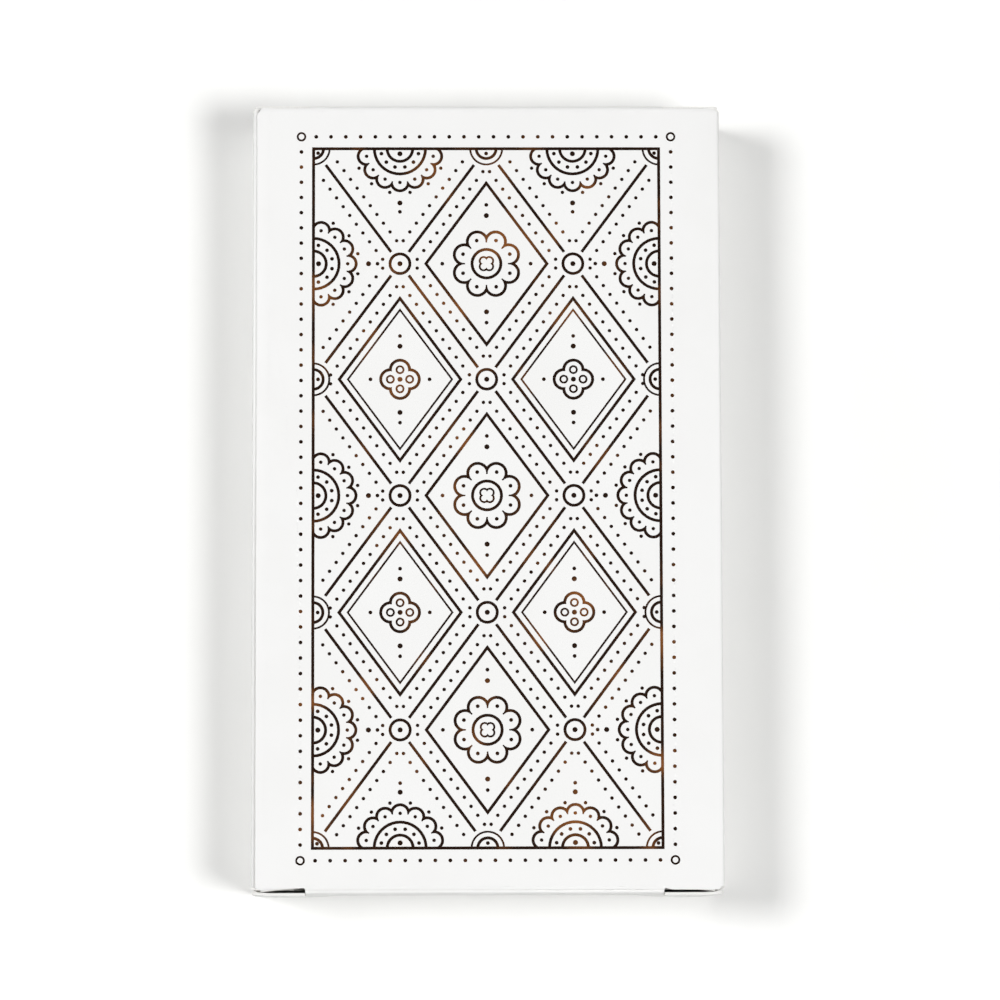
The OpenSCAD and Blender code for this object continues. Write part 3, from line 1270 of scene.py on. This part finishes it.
# %% [markdown]
# ## Floor and light
# The carton lies on a white sheet in a soft studio. Two broad lamps stand high on either side, one a little
# to the front and one a little to the back, so each long side has a soft shadow. A white dome fills the
# rest. The floor is a little brighter to the camera than its paint alone, so that it runs out to pure white
# and still keeps shadows.

# %% Floor
FLOOR_SIZE = 6.0
FLOOR_PAINT = (0.96, 0.96, 0.945, 1)
FLOOR_GLOW = 0.03
FLOOR_FADE = (0.05, 0.25)
WHITE = (1, 1, 1, 1)


def seen_rays(start):
    """1 for rays that show the stage: straight from the camera, in a mirror or through glass."""
    camera_ray = start.node("ShaderNodeLightPath", output="Is Camera Ray")
    glossy_ray = start.node("ShaderNodeLightPath", output="Is Glossy Ray")
    clear_ray = start.node("ShaderNodeLightPath", output="Is Transmission Ray")
    return camera_ray + glossy_ray + clear_ray


deselect()
bpy.ops.mesh.primitive_plane_add(size=FLOOR_SIZE)
floor = bpy.context.object
floor.name = "floor"
floor_paint, start, shader = start_finish("floor_paint", Roughness=0.9, Specular_IOR_Level=0.0)
shader.inputs["Base Color"].default_value = FLOOR_PAINT
spot = object_spot(start)
away = spot.node("ShaderNodeVectorMath", {"operation": "LENGTH"}, {0: spot}, output="Value")
shine = between(ease(away, *FLOOR_FADE), FLOOR_GLOW, 1)
glow = start.node("ShaderNodeEmission", {}, {"Color": WHITE, "Strength": seen_rays(start) * shine})
both = start.node("ShaderNodeAddShader", {}, {0: Wire(start.tree, shader.outputs[0]), 1: glow})
feed(both, floor_paint.node_tree.nodes["Material Output"], "Surface")
floor.data.materials.append(floor_paint)
print(f"floor {FLOOR_SIZE} m wide")

# %% Dome
DOME = 0.04
DOME_NEAR = 0.2

world = bpy.data.worlds.new("studio")
world.use_nodes = True
bpy.context.scene.world = world
sky = Wire(world.node_tree)
background = world.node_tree.nodes["Background"]
background.inputs["Color"].default_value = WHITE
way = sky.node("ShaderNodeTexCoord", output="Generated")
from_near = way.math("MAXIMUM", 0.0 - along_axis(way, "Y"), 0.0)
unseen = from_near * DOME_NEAR + DOME
seen = seen_rays(sky)
feed(seen + unseen * (1.0 - seen), background, "Strength")
print(f"dome {DOME}, and {DOME + DOME_NEAR:.2f} from the near end")

# %% Lamps
LAMP_DISTANCE = 1.4
LAMP_SIZE = 0.46
LAMPS = {"right_lamp": (0.48, -0.20, 10.1), "left_lamp": (-0.62, 0.12, 10.1)}

for name, (across, along, power) in LAMPS.items():
    stand = Vector((across, along, 1)).normalized() * LAMP_DISTANCE
    bpy.ops.object.light_add(type="AREA", location=stand)
    lamp = bpy.context.object
    lamp.name = name
    lamp.rotation_euler = stand.to_track_quat("Z", "Y").to_euler()
    lamp.data.shape = "DISK"
    lamp.data.size = LAMP_SIZE
    lamp.data.energy = power
    print(name, "at", [round(v, 2) for v in stand], "with", power, "W")

# %% [markdown]
# ## Camera
# The picture is taken from almost straight above with a long lens, leaning a few degrees towards the far
# end.

# %% Set up the camera
CAMERA_PLACE = (-8.0, -75.7, 714.9)
CAMERA_TURN = (6.15, -0.82, -0.07)
CAMERA_LENS = 162.3
CAMERA_SENSOR = 36
CAMERA_NEAREST = 0.01

bpy.ops.object.camera_add(location=place(*CAMERA_PLACE))
camera = bpy.context.object
turn = Euler([math.radians(degrees) for degrees in CAMERA_TURN], "ZYX")
camera.rotation_euler = turn.to_matrix().to_euler()
camera.data.lens = CAMERA_LENS
camera.data.sensor_width = CAMERA_SENSOR
camera.data.clip_start = CAMERA_NEAREST
bpy.context.scene.camera = camera
bpy.context.scene.view_settings.view_transform = "Standard"
print("camera at", CAMERA_PLACE, "mm with a lens of", CAMERA_LENS, "mm")
